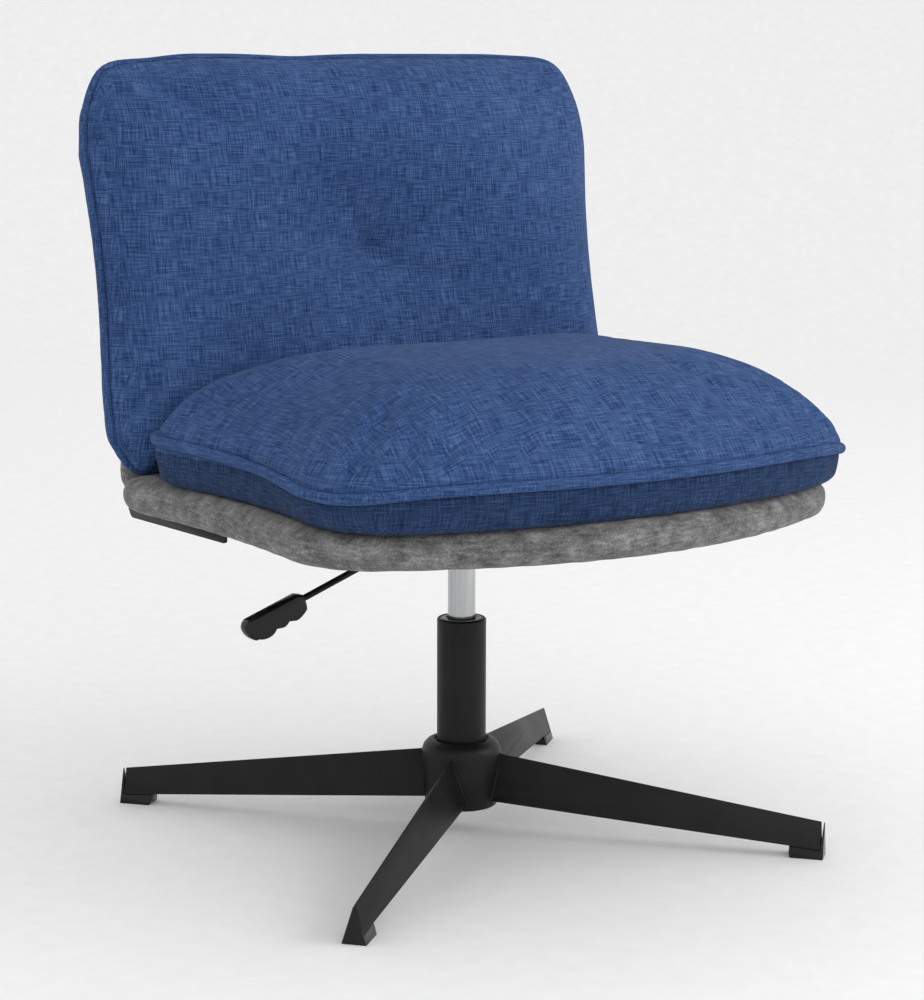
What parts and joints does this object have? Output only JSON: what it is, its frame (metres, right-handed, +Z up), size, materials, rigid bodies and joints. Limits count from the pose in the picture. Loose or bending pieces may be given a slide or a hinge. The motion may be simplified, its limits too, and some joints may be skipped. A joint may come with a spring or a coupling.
{
  "type": "swivel office chair",
  "caption": "Low lounge-style swivel office chair with a puffy seat and back cushion, grey padded shells, gas lift and a fixed star base on glides.",
  "frame": {"origin": "on the floor, under the middle of the chair's outline; the gas lift's axis is 13 mm behind it", "axes": "+Z up, -Y the way the sitter faces, +X the sitter's left"},
  "size_m": [0.6118, 0.6153, 0.7816],
  "materials": {
    "blue_weave": "matte",
    "grey_suede": "matte",
    "black_powder_coat": "satin",
    "black_plastic": "satin",
    "seal_rubber": "matte",
    "satin_chrome": "satin",
    "plywood": "matte",
    "dust_cloth": "matte",
    "zinc_steel": "satin"
  },
  "bodies": {
    "base": {"hub": "black_powder_coat", "leg_front_left": "black_powder_coat", "leg_front_right": "black_powder_coat", "leg_rear_right": "black_powder_coat", "leg_rear_left": "black_powder_coat", "foot_front_left": "black_plastic", "foot_front_right": "black_plastic", "foot_rear_right": "black_plastic", "foot_rear_left": "black_plastic", "column_tube": "black_powder_coat", "guide_bushing": "black_plastic", "lower_thrust_washer": "zinc_steel", "thrust_ball_cage": "zinc_steel"},
    "spindle": {"upper_thrust_washer": "zinc_steel", "retaining_clip": "zinc_steel", "piston_rod": "zinc_steel", "piston": "black_plastic", "piston_seal": "seal_rubber"},
    "seat": {"gas_cylinder": "satin_chrome", "rod_guide": "black_plastic", "seat_plate": "black_powder_coat", "mechanism_housing": "black_powder_coat", "cylinder_socket": "black_powder_coat", "lever_pivot_pin": "zinc_steel", "seat_bolt_1": "zinc_steel", "seat_bolt_2": "zinc_steel", "seat_bolt_3": "zinc_steel", "seat_bolt_4": "zinc_steel", "tee_nut_1": "zinc_steel", "tee_nut_2": "zinc_steel", "tee_nut_3": "zinc_steel", "tee_nut_4": "zinc_steel", "seat_bracket_screw_1": "zinc_steel", "seat_bracket_screw_2": "zinc_steel", "seat_bracket_screw_3": "zinc_steel", "seat_bracket_screw_4": "zinc_steel", "back_bracket_screw_1": "zinc_steel", "back_bracket_screw_2": "zinc_steel", "back_bracket_screw_3": "zinc_steel", "back_bracket_screw_4": "zinc_steel", "left_bracket": "black_powder_coat", "right_bracket": "black_powder_coat", "seat_platform": "grey_suede", "seat_board": "plywood", "dust_cover": "dust_cloth", "seat_cushion": "blue_weave", "back_shell": "grey_suede", "back_board": "plywood", "back_cushion": "blue_weave", "tuft_anchor": "black_plastic"},
    "lever": {"lever_rod": "black_powder_coat", "lever_handle": "black_plastic"},
    "button": {"release_button": "black_plastic"}
  },
  "joints": [
    {"name": "seat_swivel", "type": "hinge", "parent": "base", "child": "spindle", "pos_m": [0, 0.013, 0.04], "axis": [0, 0, 1], "continuous": true},
    {"name": "seat_height", "type": "slide", "parent": "spindle", "child": "seat", "axis": [0, 0, 1], "range_m": [-0.055, 0.045]},
    {"name": "lever_pull", "type": "hinge", "parent": "seat", "child": "lever", "pos_m": [-0.024, 0.013, 0.321], "axis": [0, 1, 0], "range_deg": [0, 12], "stiffness_Nm_per_rad": 1.5, "springref_deg": -5.73},
    {"name": "button_press", "type": "slide", "parent": "seat", "child": "button", "axis": [0, 0, -1], "range_m": [0, 0.0056], "stiffness_N_per_m": 300}
  ],
  "couplings": [
    {"joint": "button_press", "follows": "lever_pull", "m_per_rad": 0.0262}
  ]
}
